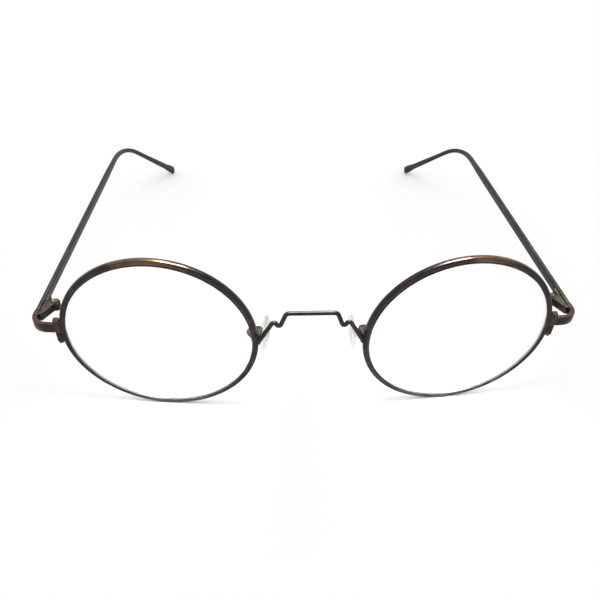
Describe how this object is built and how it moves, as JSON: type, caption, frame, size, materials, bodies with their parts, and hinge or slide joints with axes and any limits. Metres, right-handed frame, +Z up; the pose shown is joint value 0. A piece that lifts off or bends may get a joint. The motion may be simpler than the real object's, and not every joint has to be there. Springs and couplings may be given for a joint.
{
  "type": "round wire eyeglasses",
  "caption": "Round wire-rim eyeglasses with clear lenses, a notched wire bridge, adjustable clear nose pads and folding flat metal temples that hook behind the ears.",
  "frame": {"origin": "middle of the whole open pair, on the flat surface that it stands on", "axes": "+Z up; +Y from the lenses towards the ears, so the wearer looks along -Y; +X towards the wearer's left"},
  "size_m": [0.1392, 0.1378, 0.0491],
  "materials": {
    "rim_bronze": "dark antique bronze plating, satin with glossy highlights",
    "fitting_bronze": "dark reddish brown plating, satin",
    "temple_grey": "dark gunmetal plating, satin",
    "bridge_wire": "near-black gunmetal plating, satin",
    "screw_steel": "plain steel, darkened",
    "core_clear": "clear moulded plastic",
    "pad_silicone": "clear silicone, soft gloss",
    "lens_clear": "clear, coated, very faint yellow-green tint"
  },
  "bodies": {
    "front": {"bridge": "bridge_wire", "rim_left": "rim_bronze", "rim_right": "rim_bronze", "lens_left": "lens_clear", "lens_right": "lens_clear", "upper_lock_block_left": "fitting_bronze", "upper_lock_block_right": "fitting_bronze", "lower_lock_block_left": "fitting_bronze", "lower_lock_block_right": "fitting_bronze", "lock_screw_left": "screw_steel", "lock_screw_right": "screw_steel", "end_piece_left": "fitting_bronze", "end_piece_right": "fitting_bronze", "front_hinge_leaf_left": "fitting_bronze", "front_hinge_leaf_right": "fitting_bronze", "hinge_screw_left": "screw_steel", "hinge_screw_right": "screw_steel", "pad_arm_left": "bridge_wire", "pad_arm_right": "bridge_wire", "pad_box_left": "bridge_wire", "pad_box_right": "bridge_wire", "pad_screw_left": "screw_steel", "pad_screw_right": "screw_steel"},
    "temple_left": {"temple_left": "temple_grey", "temple_hinge_leaf_left": "fitting_bronze"},
    "temple_right": {"temple_right": "temple_grey", "temple_hinge_leaf_right": "fitting_bronze"},
    "nose_pad_left": {"nose_pad_left": "pad_silicone", "pad_core_left": "core_clear"},
    "nose_pad_right": {"nose_pad_right": "pad_silicone", "pad_core_right": "core_clear"}
  },
  "joints": [
    {"name": "temple_fold_left", "type": "hinge", "parent": "front", "child": "temple_left", "pos_m": [0.06522, -0.05411, 0.02608], "axis": [0, 0, 1], "range_deg": [0, 85]},
    {"name": "temple_fold_right", "type": "hinge", "parent": "front", "child": "temple_right", "pos_m": [-0.06522, -0.05411, 0.02608], "axis": [0, 0, -1], "range_deg": [0, 78]},
    {"name": "pad_rock_left", "type": "hinge", "parent": "front", "child": "nose_pad_left", "pos_m": [0.01383, -0.06016, 0.0201], "axis": [0.1564, 0.9877, 0], "range_deg": [-12, 12]},
    {"name": "pad_rock_right", "type": "hinge", "parent": "front", "child": "nose_pad_right", "pos_m": [-0.01383, -0.06016, 0.0201], "axis": [-0.1564, 0.9877, 0], "range_deg": [-12, 12]}
  ]
}
